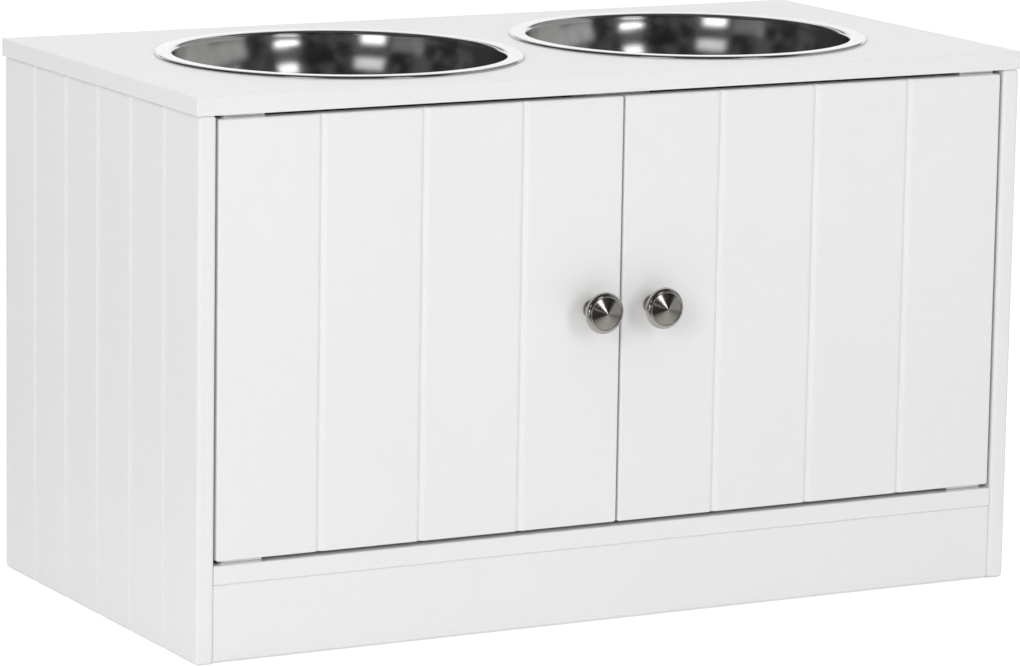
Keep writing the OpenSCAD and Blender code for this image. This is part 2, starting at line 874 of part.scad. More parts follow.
module back_screws() {
    color(zinc)
    for (x = [-back_screw_x, 0, back_screw_x])
        translate([x, back_face + back_t, back_screw_z])
            rotate([-90, 0, 0]) csk_screw(back_t / 2, back_t + screw_grip - tip_space);
}

// ---------------------------------------------------------------- drawing

top_panel();
left_side_panel();
right_side_panel();
bottom_panel();
plinth();
back_panel();
left_door();
right_door();
left_knob();
right_knob();
left_knob_screw();
right_knob_screw();
cabinet_leaf(-1, true);  // upper_left_cabinet_leaf
cabinet_leaf(-1, false);  // lower_left_cabinet_leaf
cabinet_leaf(1, true);  // upper_right_cabinet_leaf
cabinet_leaf(1, false);  // lower_right_cabinet_leaf
door_leaf(-1, true);  // upper_left_door_leaf
door_leaf(-1, false);  // lower_left_door_leaf
door_leaf(1, true);  // upper_right_door_leaf
door_leaf(1, false);  // lower_right_door_leaf
hinge_pin(-1, true);  // upper_left_hinge_pin
hinge_pin(-1, false);  // lower_left_hinge_pin
hinge_pin(1, true);  // upper_right_hinge_pin
hinge_pin(1, false);  // lower_right_hinge_pin
cabinet_leaf_screws();
door_leaf_screws(-1);  // left_door_leaf_screws
door_leaf_screws(1);  // right_door_leaf_screws
catch_body();
magnet(-1);  // left_magnet
magnet(1);  // right_magnet
pole_plates();
catch_screws();
strike_plate(-1);  // left_strike_plate
strike_plate(1);  // right_strike_plate
strike_screw(-1);  // left_strike_screw
strike_screw(1);  // right_strike_screw
left_bowl();
right_bowl();
dowels();
cam_bolts();
cam_locks();
back_screws();
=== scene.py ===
"""Raised dog feeder with storage: a white grooved cabinet with two steel bowls in its top."""

import json
import math
import random

import bmesh
import bpy
from mathutils import Matrix, Vector


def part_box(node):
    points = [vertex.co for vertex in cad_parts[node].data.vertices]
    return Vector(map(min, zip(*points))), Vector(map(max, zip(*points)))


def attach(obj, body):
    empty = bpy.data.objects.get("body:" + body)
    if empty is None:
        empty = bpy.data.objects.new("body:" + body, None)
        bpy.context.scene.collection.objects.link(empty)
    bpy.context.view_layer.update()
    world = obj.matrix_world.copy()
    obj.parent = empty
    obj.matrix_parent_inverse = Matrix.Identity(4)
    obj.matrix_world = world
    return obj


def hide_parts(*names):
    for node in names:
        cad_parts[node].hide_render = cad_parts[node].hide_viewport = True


# ---------------------------------------------------------------- frame and camera
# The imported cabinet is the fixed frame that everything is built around. The camera stands far off
# its left front corner, a little above it, and looks at it through a long lens.
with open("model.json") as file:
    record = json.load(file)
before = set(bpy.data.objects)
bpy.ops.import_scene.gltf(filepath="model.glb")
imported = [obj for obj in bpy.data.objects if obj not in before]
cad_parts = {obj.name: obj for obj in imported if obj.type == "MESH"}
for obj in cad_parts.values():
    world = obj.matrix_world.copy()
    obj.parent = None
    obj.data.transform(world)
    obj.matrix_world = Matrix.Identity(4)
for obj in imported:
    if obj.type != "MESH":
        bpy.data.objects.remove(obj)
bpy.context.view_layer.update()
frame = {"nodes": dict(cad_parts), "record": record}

camera_place = Vector((-1.650, -3.042, 0.802))
camera_turn = math.radians(28.41)
camera_dip = math.radians(10.44)
camera_roll = math.radians(0.94)
camera_lens = 187.1
camera_sensor_w = 36
camera_reach = 100

camera = bpy.data.objects.new("camera", bpy.data.cameras.new("camera"))
bpy.context.scene.collection.objects.link(camera)
camera.data.sensor_fit = "HORIZONTAL"
camera.data.sensor_width = camera_sensor_w
camera.data.lens = camera_lens
camera.data.clip_end = camera_reach
camera.matrix_world = (
    Matrix.Translation(camera_place)
    @ Matrix.Rotation(-camera_turn, 4, "Z")
    @ Matrix.Rotation(math.pi / 2 - camera_dip, 4, "X")
    @ Matrix.Rotation(camera_roll, 4, "Z")
)
bpy.context.scene.camera = camera

# ---------------------------------------------------------------- boards of the carcass
# Top, bottom and plinth are fibreboard, cut to size, with eased edges, sprayed with a satin white
# paint that leaves a very fine orange peel. Noise is given in ripples per metre from here on.
paint_white = (0.86, 0.861, 0.862, 1)
paint_shade = (0.835, 0.836, 0.836, 1)
paint_specular = 0.45
paint_roughness = (0.4, 0.5)
paint_clouds = 5
paint_dust = 90
paint_peel = 650
paint_peel_height = 0.000012
paint_waves = 28
paint_wave_height = 0.00004


class Wire:
    """An output socket that can stand in a sum."""

    def __init__(self, nodes, socket):
        self.nodes, self.socket = nodes, socket

    def maths(self, operation, *others):
        inputs = enumerate((self, *others))
        return self.nodes.node("ShaderNodeMath", {"operation": operation}, inputs)

    def __add__(self, other):
        return self.maths("ADD", other)

    def __sub__(self, other):
        return self.maths("SUBTRACT", other)

    def __rsub__(self, other):
        return self * -1 + other

    def __mul__(self, other):
        return self.maths("MULTIPLY", other)

    def __truediv__(self, other):
        return self.maths("DIVIDE", other)

    def __pow__(self, other):
        return self.maths("POWER", other)


class Nodes:
    """A node tree that is filled one node at a time."""

    def __init__(self, tree):
        self.tree = tree

    def node(self, kind, settings=(), inputs=(), output=0):
        new = self.tree.nodes.new(kind)
        for name, value in dict(settings).items():
            setattr(new, name, value)
        for name, value in dict(inputs).items():
            self.put(value, new.inputs[name])
        return Wire(self, new.outputs[output])

    def put(self, value, socket):
        if isinstance(value, Wire):
            self.tree.links.new(value.socket, socket)
        else:
            socket.default_value = value

    def split(self, vector):
        """The X, Y and Z of a vector."""
        first = self.node("ShaderNodeSeparateXYZ", (), {"Vector": vector})
        return [Wire(self, output) for output in first.socket.node.outputs]


class Finish(Nodes):
    """A surface finish, worked out from where a point lies on the object."""

    def __init__(self, name, **sockets):
        self.material = bpy.data.materials.new(name)
        self.material.use_nodes = True
        super().__init__(self.material.node_tree)
        self.shader = self.tree.nodes["Principled BSDF"]
        self.place = self.node("ShaderNodeTexCoord", output="Object")
        for socket, value in sockets.items():
            self.set(socket.replace("_", " "), value)

    def set(self, socket, value):
        self.put(value, self.shader.inputs[socket])

    def noise(self, scale, detail=2, squeeze=(1, 1, 1)):
        """Noise from 0 to 1, most of it between 0.3 and 0.7."""
        at = self.node("ShaderNodeMapping", (), {"Vector": self.place, "Scale": squeeze})
        return self.node("ShaderNodeTexNoise", (), {"Vector": at, "Scale": scale, "Detail": detail})

    def spread(self, value, low, high, start=0.3, end=0.7):
        """value, which runs from start to end, made to run from low to high."""
        inputs = {"Value": value, "From Min": start, "From Max": end, "To Min": low, "To Max": high}
        return self.node("ShaderNodeMapRange", (), inputs)

    def mix(self, share, first, second):
        """The colour from first to second, at that share of the way."""
        inputs = {0: share, 6: first, 7: second}
        return self.node("ShaderNodeMix", {"data_type": "RGBA"}, inputs, output=2)

    def bump(self, height, metres, under=None):
        inputs = {"Height": height, "Distance": metres, "Strength": 1}
        if under:
            inputs["Normal"] = under
        return self.node("ShaderNodeBump", (), inputs)

    def colour(self, noise, first, second):
        self.set("Base Color", self.mix(self.spread(noise, 0, 1), first, second))

    def roughness(self, noise, limits):
        self.set("Roughness", self.spread(noise, *limits))


def painted_board():
    paint = Finish("painted_board", Specular_IOR_Level=paint_specular)
    peel = paint.noise(paint_peel, detail=3)
    dust = paint.noise(paint_dust, detail=6)
    paint.colour(paint.noise(paint_clouds, detail=4) * 0.7 + dust * 0.3, paint_white, paint_shade)
    paint.roughness(peel * 0.5 + dust * 0.5, paint_roughness)
    wave = paint.bump(paint.noise(paint_waves, detail=1), paint_wave_height)
    paint.set("Normal", paint.bump(peel, paint_peel_height, under=wave))
    return paint.material


def coat(piece, material):
    piece.data.materials.clear()
    piece.data.materials.append(material)


paint = painted_board()
for name in ("top_panel", "bottom_panel", "plinth"):
    coat(frame["nodes"][name], paint)

# ---------------------------------------------------------------- grooved sides and doors
# Sides and doors are the same fibreboard, routed with upright V grooves, so that each looks like a
# row of narrow boards. The paint rounds the shoulders of the grooves. Each side is bored for the
# two cam locks that hold the top.
board_t = 0.012
side_edge = 0.0025
door_edge = 0.0015
side_strips = 6
door_strips = 4
groove_w = 0.0048
groove_depth = 0.002
groove_softness = 0.0003
groove_fade = 0.005
groove_grid = (0, 0.06, 0.14, 0.3, 0.42, 0.5, 0.58, 0.66, 0.8)  # in groove widths from its middle
edge_steps = 5
edge_skirt = 1.15
cam_r = 0.006
cam_play = 0.0001
cam_depth = 0.0095
drill_sides = 48
drill_over = 0.001
crease_angle = 35


def grid_lines(length, edge, extra):
    """Where a board's grid lines lie along one axis: close together over its rounded edges."""
    angles = [math.pi / 4 * k / edge_steps for k in range(edge_steps, -1, -1)]
    fan = [edge - edge * math.tan(a) for a in angles] + [edge * edge_skirt]
    return fan + sorted(extra) + [length - d for d in reversed(fan)]


def eased_board(size, edge, extra):
    """A board from the origin with rounded edges. extra has more grid lines for each axis."""
    grid = [grid_lines(size[axis], edge, extra[axis]) for axis in range(3)]
    mesh = bmesh.new()
    corners = {}

    def corner(index):
        if index not in corners:
            place = Vector([grid[axis][index[axis]] for axis in range(3)])
            inner = Vector([min(max(place[axis], edge), size[axis] - edge) for axis in range(3)])
            corners[index] = mesh.verts.new(inner + (place - inner).normalized() * edge)
        return corners[index]

    for axis in range(3):
        across, along = (axis + 1) % 3, (axis + 2) % 3
        for end in (0, len(grid[axis]) - 1):
            for i in range(len(grid[across]) - 1):
                for j in range(len(grid[along]) - 1):
                    ring = [(i, j), (i + 1, j), (i + 1, j + 1), (i, j + 1)]
                    if end == 0:
                        ring.reverse()
                    places = []
                    for a, b in ring:
                        index = [0, 0, 0]
                        index[axis], index[across], index[along] = end, a, b
                        places.append(corner(tuple(index)))
                    mesh.faces.new(places)
    return mesh


def new_piece(name, mesh):
    """An object with that bmesh, in the scene."""
    data = bpy.data.meshes.new(name)
    mesh.to_mesh(data)
    mesh.free()
    piece = bpy.data.objects.new(name, data)
    bpy.context.scene.collection.objects.link(piece)
    return piece


def settle(piece, crease=crease_angle):
    """Turns piece and its modifiers into a plain mesh, smooth up to edges of crease degrees."""
    seen = bpy.context.evaluated_depsgraph_get()
    mesh = bpy.data.meshes.new_from_object(piece.evaluated_get(seen), depsgraph=seen)
    piece.modifiers.clear()
    piece.data = mesh
    mesh.name = piece.name
    mesh.polygons.foreach_set("use_smooth", [True] * len(mesh.polygons))
    mesh.set_sharp_from_angle(angle=math.radians(crease))


class Tree(Nodes):
    """A Geometry Nodes tree with named inputs. Their values are set on a modifier."""

    def __init__(self, name, **inputs):
        super().__init__(bpy.data.node_groups.new(name, "GeometryNodeTree"))
        self.sockets = {}
        for label, kind in {"Geometry": "Geometry", **inputs}.items():
            socket = self.tree.interface.new_socket(
                label, in_out="INPUT", socket_type="NodeSocket" + kind
            )
            self.sockets[label] = socket.identifier
        self.tree.interface.new_socket(
            "Geometry", in_out="OUTPUT", socket_type="NodeSocketGeometry"
        )
        self.group = self.tree.nodes.new("NodeGroupInput")

    def __getitem__(self, label):
        return Wire(self, self.group.outputs[label])

    def end(self, geometry):
        """Instances become real, and everything gets the material input."""
        real = self.node("GeometryNodeRealizeInstances", (), {"Geometry": geometry})
        inputs = {"Geometry": real, "Material": self["Material"]}
        done = self.node("GeometryNodeSetMaterial", (), inputs)
        self.put(done, self.tree.nodes.new("NodeGroupOutput").inputs[0])

    def apply(self, piece, **values):
        """Runs the tree on piece, and leaves it with the plain mesh that comes out."""
        modifier = piece.modifiers.new(self.tree.name, "NODES")
        modifier.node_group = self.tree
        for label, value in values.items():
            modifier[self.sockets[label]] = value
        settle(piece)


def groove_tree():
    """Presses V grooves with soft shoulders into the face at y = 0, at equal steps along X."""
    tree = Tree(
        "routed_grooves", Spacing="Float", Last="Float", Width="Float", Depth="Float",
        Softness="Float", Fade="Float", Material="Material",
    )
    x, y, _ = tree.split(tree.node("GeometryNodeInputPosition"))
    nearest = (x / tree["Spacing"]).maths("ROUND").maths("MAXIMUM", 1.0)
    nearest = nearest.maths("MINIMUM", tree["Last"])
    off = x - nearest * tree["Spacing"]
    soft = tree["Softness"]
    off = (off * off + soft * soft) ** 0.5
    slope = tree["Depth"] / (tree["Width"] * 0.5)
    flank = (tree["Width"] * 0.5 + soft - off) * slope
    depth = flank.maths("SMOOTH_MAX", 0.0, soft)
    near = (1 - y / tree["Fade"]).maths("MAXIMUM", 0.0)
    push = tree.node("ShaderNodeCombineXYZ", (), {"Y": depth * near})
    inputs = {"Geometry": tree["Geometry"], "Offset": push}
    tree.end(tree.node("GeometryNodeSetPosition", (), inputs))
    return tree


def cut(piece, drills):
    """Takes the drills out of piece, and deletes them."""
    for drill in drills:
        modifier = piece.modifiers.new(drill.name, "BOOLEAN")
        modifier.operation = "DIFFERENCE"
        modifier.solver = "EXACT"
        modifier.object = drill
    settle(piece)
    for drill in drills:
        bpy.data.objects.remove(drill)


def round_drill(mouth, axis, radius, depth):
    """A cutter from just outside mouth, going depth deep along axis."""
    length = depth + drill_over
    mesh = bmesh.new()
    bmesh.ops.create_cone(
        mesh, cap_ends=True, segments=drill_sides, radius1=radius, radius2=radius, depth=length
    )
    turn = Vector((0, 0, 1)).rotation_difference(axis).to_matrix().to_4x4()
    middle = mouth + axis * (depth - drill_over) / 2
    mesh.transform(Matrix.Translation(middle) @ turn)
    return new_piece("drill", mesh)


def grooved_board(name, body, strips, edge, grooves, turn):
    """A board in the place of the CAD node of that name, grooved on the face that turn makes
    from the face at y = 0."""
    low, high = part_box(name)
    inverse = turn.inverted()
    ends = [inverse @ low, inverse @ high]
    first = Vector([min(a, b) for a, b in zip(*ends)])
    size = Vector([abs(a - b) for a, b in zip(*ends)])
    spacing = size.x / strips
    offsets = [groove_w * share for share in groove_grid]
    across = [
        k * spacing + side * offset
        for k in range(1, strips)
        for offset in offsets
        for side in ((-1, 1) if offset else (1,))
    ]
    board = new_piece(name + "_board", eased_board(size, edge, (across, (groove_fade,), ())))
    grooves.apply(
        board, Spacing=spacing, Last=float(strips - 1), Width=groove_w, Depth=groove_depth,
        Softness=groove_softness, Fade=groove_fade, Material=paint,
    )
    board.data.transform(turn.to_4x4() @ Matrix.Translation(first))
    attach(board, body)
    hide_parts(name)
    return board


grooves = groove_tree()
unturned = Matrix.Identity(3)
cams_low, cams_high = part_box("cam_locks")
for side, sign in (("left", -1), ("right", 1)):
    outward = Matrix.Rotation(math.radians(90) * sign, 3, "Z")
    board = grooved_board(side + "_side_panel", "cabinet", side_strips, side_edge, grooves, outward)
    inner_x = sign * (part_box("right_side_panel")[1].x - board_t)
    pockets = []
    for y in (cams_low.y + cam_r, cams_high.y - cam_r):
        mouth = Vector((inner_x, y, cams_high.z - cam_r))
        pockets.append(round_drill(mouth, Vector((sign, 0, 0)), cam_r + cam_play, cam_depth))
    cut(board, pockets)
    grooved_board(side + "_door", "door_" + side, door_strips, door_edge, grooves, unturned)

# ---------------------------------------------------------------- back panel
# Thin hardboard with a white lacquered face, slid into grooves of the sides and the top and held
# by three screws at its lower edge. The lacquer shows the felted surface of the board.
lacquer_white = (0.84, 0.84, 0.83, 1)
lacquer_shade = (0.8, 0.8, 0.785, 1)
lacquer_specular = 0.4
lacquer_roughness = (0.45, 0.6)
lacquer_clouds = 11
lacquer_felt = 500
lacquer_felt_height = 0.00003


def lacquered_hardboard():
    lacquer = Finish("lacquered_hardboard", Specular_IOR_Level=lacquer_specular)
    felt = lacquer.noise(lacquer_felt, detail=5)
    lacquer.colour(lacquer.noise(lacquer_clouds, detail=5), lacquer_white, lacquer_shade)
    lacquer.roughness(felt, lacquer_roughness)
    lacquer.set("Normal", lacquer.bump(felt, lacquer_felt_height))
    return lacquer.material


coat(frame["nodes"]["back_panel"], lacquered_hardboard())

# ---------------------------------------------------------------- bowls
# Each bowl is pressed and spun from one sheet of stainless steel and polished. Its lip curves over
# the edge of the hole into a flat rim, whose outer edge is rolled under and rests on the top panel.
bowl_lip_r = 0.108
bowl_rim_w = 0.0115
bowl_rim_h = 0.002
bowl_sheet = 0.0008
bowl_depth = 0.070
bowl_lip_slope = math.radians(5)
bowl_wall_r = 0.095
bowl_wall_turn = math.radians(27)
bowl_lip_curve = 0.003
bowl_curl_r = 0.0004
bowl_sides = 192
wall_steps = 24
lip_steps = 12
under_lip_steps = 10
shoulder_steps = 16
curl_steps = 8
least_step = 0.000001
steel_colour = (0.58, 0.58, 0.575, 1)
steel_dull = (0.52, 0.52, 0.512, 1)
steel_roughness = (0.1, 0.18)
steel_smears = 22
rings_per_metre = 2600
ring_height = 0.000004


def arc(centre, radius, start, end, steps):
    """Points of an arc between two angles, in degrees, as (distance from the axis, height)."""
    angles = [math.radians(start + (end - start) * k / steps) for k in range(steps + 1)]
    return [(centre[0] + radius * math.cos(a), centre[1] + radius * math.sin(a)) for a in angles]


def turned(name, profile, place, sides):
    """A round closed piece. The profile starts and ends on the axis, which is the Z of place."""
    mesh = bmesh.new()
    rings = []
    angles = [2 * math.pi * k / sides for k in range(sides)]
    for r, z in profile:
        if r == 0:
            rings.append([mesh.verts.new((0, 0, z))] * sides)
            continue
        rings.append([mesh.verts.new((r * math.cos(a), r * math.sin(a), z)) for a in angles])
    for lower, upper in zip(rings, rings[1:]):
        for k in range(sides):
            following = (k + 1) % sides
            face = [lower[k], lower[following], upper[following], upper[k]]
            face = list(dict.fromkeys(face))
            if len(face) > 2:
                mesh.faces.new(face)
    bmesh.ops.recalc_face_normals(mesh, faces=mesh.faces)
    mesh.transform(place)
    return new_piece(name, mesh)


def bowl_profile():
    """From the middle of the floor up the inside, over the rim and down the outside."""
    shoulder_r = bowl_rim_h - bowl_curl_r
    rim_r = bowl_lip_r + bowl_rim_w
    slope, turned_by = bowl_lip_slope, bowl_lip_slope + bowl_wall_turn
    lip = Vector((bowl_lip_r + bowl_lip_curve, bowl_rim_h - bowl_lip_curve))
    wall = lip - (bowl_lip_curve + bowl_wall_r) * Vector((math.cos(slope), -math.sin(slope)))
    wall_end = wall + bowl_wall_r * Vector((math.cos(turned_by), -math.sin(turned_by)))
    floor_z = bowl_rim_h - bowl_depth
    corner_r = (wall_end.y - floor_z) / (1 - math.sin(turned_by))
    corner = wall_end - corner_r * Vector((math.cos(turned_by), -math.sin(turned_by)))
    s, t = math.degrees(slope), math.degrees(turned_by)
    inside = (
        arc(corner, corner_r, -90, -t, wall_steps)
        + arc(wall, bowl_wall_r, -t, -s, wall_steps)
        + arc(lip, bowl_lip_curve, 180 - s, 90, lip_steps)
        + arc((rim_r - shoulder_r, bowl_curl_r), shoulder_r, 90, 0, shoulder_steps)
        + arc((rim_r - bowl_curl_r, bowl_curl_r), bowl_curl_r, 0, -90, curl_steps)
    )
    outside = (
        [(rim_r - bowl_sheet, 0), (rim_r - bowl_sheet, bowl_rim_h / 2)]
        + [(rim_r - shoulder_r, bowl_rim_h - bowl_sheet)]
        + arc(lip, bowl_lip_curve - bowl_sheet, 90, 180 - s, under_lip_steps)
        + arc(wall, bowl_wall_r + bowl_sheet, -s, -t, wall_steps)
        + arc(corner, corner_r + bowl_sheet, -t, -90, wall_steps)
    )
    points = [(0, floor_z)]
    for point in inside + outside + [(0, floor_z - bowl_sheet)]:
        if math.dist(point, points[-1]) > least_step:
            points.append(point)
    return points


def from_middle(finish, middle):
    """X, Y and Z from middle. Signs are dropped first, so that the left and right piece agree."""
    kind = "ShaderNodeVectorMath"
    positive = finish.node(kind, {"operation": "ABSOLUTE"}, {0: finish.place})
    return finish.split(finish.node(kind, {"operation": "SUBTRACT"}, {0: positive, 1: middle}))


def lathe_rings(finish, along, detail):
    """Noise in fine rings, which changes only with along."""
    inputs = {"W": along, "Scale": rings_per_metre, "Detail": detail}
    return finish.node("ShaderNodeTexNoise", {"noise_dimensions": "1D"}, inputs)


def polished_steel(middle):
    """Fine rings left by spinning and polishing, and faint smears."""
    steel = Finish("polished_steel", Metallic=1.0)
    x, y, z = from_middle(steel, middle)
    ring = lathe_rings(steel, (x * x + y * y) ** 0.5 - z, 4)
    smear = steel.noise(steel_smears, detail=4)
    steel.colour(smear, steel_colour, steel_dull)
    steel.roughness(ring * 0.6 + smear * 0.4, steel_roughness)
    steel.set("Normal", steel.bump(ring, ring_height))
    return steel.material


top_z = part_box("top_panel")[1].z
bowl_low, bowl_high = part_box("right_bowl")
bowl_x, bowl_y = (bowl_low.x + bowl_high.x) / 2, (bowl_low.y + bowl_high.y) / 2
steel = polished_steel((bowl_x, bowl_y, top_z))
for side, sign in (("left", -1), ("right", 1)):
    seat = Matrix.Translation((sign * bowl_x, bowl_y, top_z))
    bowl = turned(side + "_steel_bowl", bowl_profile(), seat, bowl_sides)
    settle(bowl)
    coat(bowl, steel)
    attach(bowl, "bowl_" + side)
    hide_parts(side + "_bowl")

# ---------------------------------------------------------------- knobs
# Turned knobs of nickel-plated brass: a foot, a waist that flares out, a rounded shoulder, and a
# shallow cone inside a fine bead. The lathe tool leaves rings on the cone. A screw holds each from
# inside the door.
knob_rim_r = 0.0135
knob_cone_h = 0.0021
knob_shoulder_r = 0.0031
knob_shoulder_tilt = math.radians(15)
knob_edge_r = 0.0006
knob_foot_r = 0.0062
knob_waist_r = 0.005
knob_foot_h = 0.0015
knob_foot_edge = 0.9
knob_bead_r = 0.0004
knob_tip_r = 0.0002
knob_tip_h = 0.00003
knob_sides = 144
knob_crease = 50
foot_steps = 6
flare_steps = 24
edge_turn_steps = 8
knob_shoulder_steps = 20
bead_steps = 10
tool_mark_step = 0.00016
tool_mark_tilt = math.radians(3)
tool_mark_seed = 7
nickel_colour = (0.53, 0.51, 0.465, 1)
nickel_dull = (0.43, 0.41, 0.37, 1)
nickel_roughness = (0.06, 0.13)


def tool_marks(start, end, chance):
    """Points of a straight cut from start to end, with the shallow rings that a tool leaves."""
    start, end = Vector(start), Vector(end)
    along = end - start
    out = Vector((-along.y, along.x)).normalized()
    marks = int(along.length / tool_mark_step)
    points = []
    for k in range(1, marks):
        depth = tool_mark_step * math.tan(tool_mark_tilt) * chance.random()
        points.append(tuple(start + along * k / marks - out * depth * (k % 2)))
    return points


def knob_profile(length):
    """From the middle of the foot, which lies on the door, out and round to the tip."""
    chance = random.Random(tool_mark_seed)
    fillet = knob_foot_r - knob_waist_r
    line_z = length - knob_cone_h
    shoulder = Vector((
        knob_rim_r - knob_shoulder_r, line_z - knob_shoulder_r * math.cos(knob_shoulder_tilt)
    ))
    shoulder_end = 90 - math.degrees(knob_shoulder_tilt)
    ring_r = shoulder.x + knob_shoulder_r * math.sin(knob_shoulder_tilt)
    edge = (knob_rim_r - knob_edge_r, shoulder.y)
    flare_z = knob_foot_h + fillet
    reach = Vector((edge[0] - knob_waist_r, edge[1] - knob_edge_r - flare_z))
    flare = []
    for k in range(1, flare_steps):
        a = math.pi / 2 * k / flare_steps
        flare.append((knob_waist_r + reach.x * (1 - math.cos(a)), flare_z + reach.y * math.sin(a)))
    cone_edge = (ring_r - 2 * knob_bead_r, line_z)
    tip = (knob_tip_r, length - knob_tip_h)
    return (
        [(0, 0), (knob_foot_r, 0), (knob_foot_r, knob_foot_h * knob_foot_edge)]
        + arc((knob_foot_r, flare_z), fillet, -90, -180, foot_steps)
        + flare
        + arc(edge, knob_edge_r, -90, 0, edge_turn_steps)
        + arc(shoulder, knob_shoulder_r, 0, shoulder_end, knob_shoulder_steps)[1:]
        + arc((ring_r - knob_bead_r, line_z), knob_bead_r, 0, 180, bead_steps)[1:]
        + tool_marks(cone_edge, tip, chance)
        + [tip, (0, length)]
    )


def brushed_nickel(middle):
    """Fine rings round the axis of each knob."""
    nickel = Finish("brushed_nickel", Metallic=1.0)
    x, y, z = from_middle(nickel, middle)
    ring = lathe_rings(nickel, (x * x + z * z) ** 0.5 + y, 3)
    nickel.colour(ring, nickel_colour, nickel_dull)
    nickel.roughness(ring, nickel_roughness)
    nickel.set("Normal", nickel.bump(ring, ring_height))
    return nickel.material


knob_low, knob_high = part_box("right_knob")
knob_x, knob_z = (knob_low.x + knob_high.x) / 2, (knob_low.z + knob_high.z) / 2
nickel = brushed_nickel((knob_x, -knob_high.y, knob_z))
forward = Matrix.Rotation(math.pi / 2, 4, "X")
for side, sign in (("left", -1), ("right", 1)):
    seat = Matrix.Translation((sign * knob_x, knob_high.y, knob_z)) @ forward
    knob = turned(side + "_turned_knob", knob_profile(knob_high.y - knob_low.y), seat, knob_sides)
    settle(knob, crease=knob_crease)
    coat(knob, nickel)
    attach(knob, "door_" + side)
    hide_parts(side + "_knob")

# ---------------------------------------------------------------- zinc-plated fittings
# Hinge leaves and pins, screws, strike and pole plates, cam bolts and cam locks are steel with a
# thin bright zinc plate, a little cloudy and finely scratched.
zinc_bright = (0.9, 0.905, 0.91, 1)
zinc_cloudy = (0.76, 0.77, 0.78, 1)
zinc_metallic = 0.7
zinc_roughness = (0.34, 0.52)
zinc_clouds = 140
zinc_scratches = 900
zinc_scratch_squeeze = (0.15, 1, 1)
zinc_scratch_height = 0.000006


def zinc_plate():
    zinc = Finish("zinc_plate", Metallic=zinc_metallic)
    cloud = zinc.noise(zinc_clouds, detail=5)
    scratch = zinc.noise(zinc_scratches, detail=3, squeeze=zinc_scratch_squeeze)
    zinc.colour(cloud, zinc_bright, zinc_cloudy)
    zinc.roughness(cloud * 0.5 + scratch * 0.5, zinc_roughness)
    zinc.set("Normal", zinc.bump(scratch, zinc_scratch_height))
    return zinc.material


zinc = zinc_plate()
for entry in frame["record"]["subparts"]:
    if entry["material_slot"] == "zinc_plate":
        coat(frame["nodes"][entry["node"]], zinc)

# ---------------------------------------------------------------- screws
# Countersunk wood screws hold the back, the catch and the strike plates. Each is rolled from steel
# wire and zinc plated, with a cross recess that narrows inwards and a thread up to its head.
screw_head_r = 0.0025
screw_r = 0.0011
screw_core = 0.7
screw_point = 0.25
screw_rim = 0.0001
screw_sides = 24
thread_pitch = 0.0012
thread_steps = 8
thread_steepness = 3
recess_depth = 0.0011
recess_mouth = (0.0016, 0.0004)
recess_floor = (0.0007, 0.00025)


def screw_ridge(z, turn):
    """How far the thread stands out of its core, from 0 to 1, at that height and turn."""
    return max(0, 1 - thread_steepness * abs((z / thread_pitch - turn) % 1 - 0.5))


def blade(turned_by):
    """A cutter for one arm of a cross recess, turned by that many degrees."""
    mesh = bmesh.new()
    bmesh.ops.create_cube(mesh, size=2)
    for vert in mesh.verts:
        half_l, half_w = recess_mouth if vert.co.z > 0 else recess_floor
        z = screw_rim if vert.co.z > 0 else -recess_depth
        vert.co = Vector((vert.co.x * half_l, vert.co.y * half_w, z))
    mesh.transform(Matrix.Rotation(math.radians(turned_by), 4, "Z"))
    return new_piece("blade", mesh)


def wood_screw(length):
    """A screw with the face of its head at the origin, pointing down the Z axis."""
    head_h = screw_head_r - screw_r
    mesh = bmesh.new()

    def ring(z, radius):
        """A ring of vertices. radius gives the distance from the axis at each turn, 0 to 1."""
        verts = []
        for k in range(screw_sides):
            turn = k / screw_sides
            angle = 2 * math.pi * turn
            r = radius(turn)
            verts.append(mesh.verts.new((r * math.cos(angle), r * math.sin(angle), z)))
        return verts

    rings = [
        ring(0, lambda turn: screw_head_r - screw_rim),
        ring(-screw_rim, lambda turn: screw_head_r),
        ring(-head_h, lambda turn: screw_r * screw_core),
    ]
    steps = int((length - head_h) / thread_pitch * thread_steps)
    for k in range(1, steps + 1):
        z = -head_h - (length - head_h) * k / steps
        outer = screw_r * min(1, screw_point + (length + z) / (2 * screw_r))
        rings.append(ring(
            z, lambda turn: outer * (screw_core + (1 - screw_core) * screw_ridge(z, turn))
        ))
    for upper, lower in zip(rings, rings[1:]):
        for k in range(screw_sides):
            following = (k + 1) % screw_sides
            mesh.faces.new([lower[k], lower[following], upper[following], upper[k]])
    mesh.faces.new(rings[0])
    mesh.faces.new(reversed(rings[-1]))
    bmesh.ops.recalc_face_normals(mesh, faces=mesh.faces)
    screw = new_piece("wood_screw", mesh)
    cut(screw, [blade(0), blade(90)])
    return screw


def screw_tree():
    """Sets the same screw at every point, with its head facing one way."""
    tree = Tree("screw_set", Screw="Object", Facing="Vector", Material="Material")
    inputs = {"Object": tree["Screw"]}
    screw = tree.node("GeometryNodeObjectInfo", (), inputs, output="Geometry")
    inputs = {"Vector": tree["Facing"]}
    turn = tree.node("FunctionNodeAlignRotationToVector", {"axis": "Z"}, inputs)
    inputs = {"Points": tree["Geometry"], "Instance": screw, "Rotation": turn}
    tree.end(tree.node("GeometryNodeInstanceOnPoints", (), inputs))
    return tree


